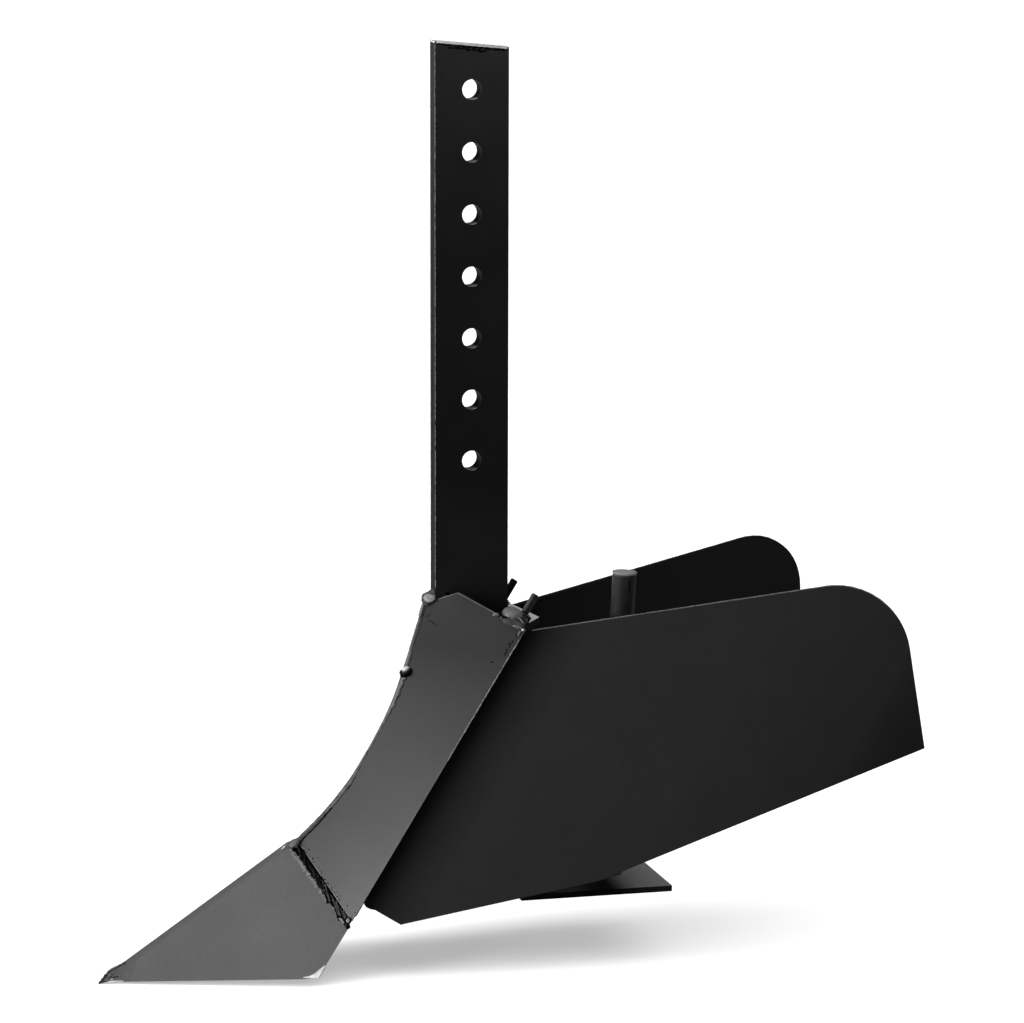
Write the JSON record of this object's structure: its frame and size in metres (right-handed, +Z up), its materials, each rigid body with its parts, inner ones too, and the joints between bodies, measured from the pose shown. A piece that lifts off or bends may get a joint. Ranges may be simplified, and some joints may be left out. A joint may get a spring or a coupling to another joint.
{
  "type": "walk behind ridger",
  "caption": "Ridging plough for a walk-behind tractor: flat drilled shank, hollow V nose with a pointed share, two hinged wings that set the ridge width, and a heel plate on a sliding post.",
  "frame": {"origin": "centre of the shank's middle hole, halfway through the shank's thickness", "axes": "+X forward in the direction of travel, towards the share's point; +Y to the left of travel; +Z up along the shank"},
  "size_m": [0.5241, 0.2338, 0.6042],
  "materials": {
    "grey_paint": "dark grey satin paint",
    "black_paint": "black satin paint",
    "weld_metal": "rough painted weld bead",
    "plain_steel": "dull plain steel"
  },
  "bodies": {
    "frame": {"shank": "black_paint", "left_flank": "grey_paint", "right_flank": "grey_paint", "nose_weld": "weld_metal", "nose_nugget": "grey_paint", "left_share": "grey_paint", "right_share": "grey_paint", "share_ridge_weld": "grey_paint", "share_tip": "grey_paint", "left_share_weld": "weld_metal", "right_share_weld": "weld_metal", "cap_plate": "grey_paint", "left_pin_boss": "grey_paint", "right_pin_boss": "grey_paint", "frog_plate": "black_paint", "lower_hinge_plate": "black_paint", "left_hinge_pin": "plain_steel", "right_hinge_pin": "plain_steel", "left_split_pins": "plain_steel", "right_split_pins": "plain_steel", "heel_sleeve": "grey_paint", "set_screw_boss": "grey_paint", "set_screw": "plain_steel", "lock_nut": "plain_steel", "clamp_bolt": "plain_steel", "clamp_washer": "plain_steel", "clamp_nut": "plain_steel"},
    "left_wing": {"left_wing": "black_paint", "left_upper_lug": "black_paint", "left_lower_lug": "black_paint", "left_stay": "black_paint"},
    "right_wing": {"right_wing": "black_paint", "right_upper_lug": "black_paint", "right_lower_lug": "black_paint", "right_stay": "black_paint"},
    "heel": {"heel_post": "grey_paint", "sole_plate": "grey_paint"}
  },
  "joints": [
    {"name": "left_wing_hinge", "type": "hinge", "parent": "frame", "child": "left_wing", "pos_m": [-0.0305, 0.024, -0.2195], "axis": [0.5299, 0, -0.848], "range_deg": [-8, 9.5]},
    {"name": "right_wing_hinge", "type": "hinge", "parent": "frame", "child": "right_wing", "pos_m": [-0.0305, -0.024, -0.2195], "axis": [-0.5299, 0, 0.848], "range_deg": [-8, 9.5]},
    {"name": "heel_slide", "type": "slide", "parent": "frame", "child": "heel", "axis": [-0.0523, 0, 0.9986], "range_m": [-0.04, 0.06]}
  ]
}
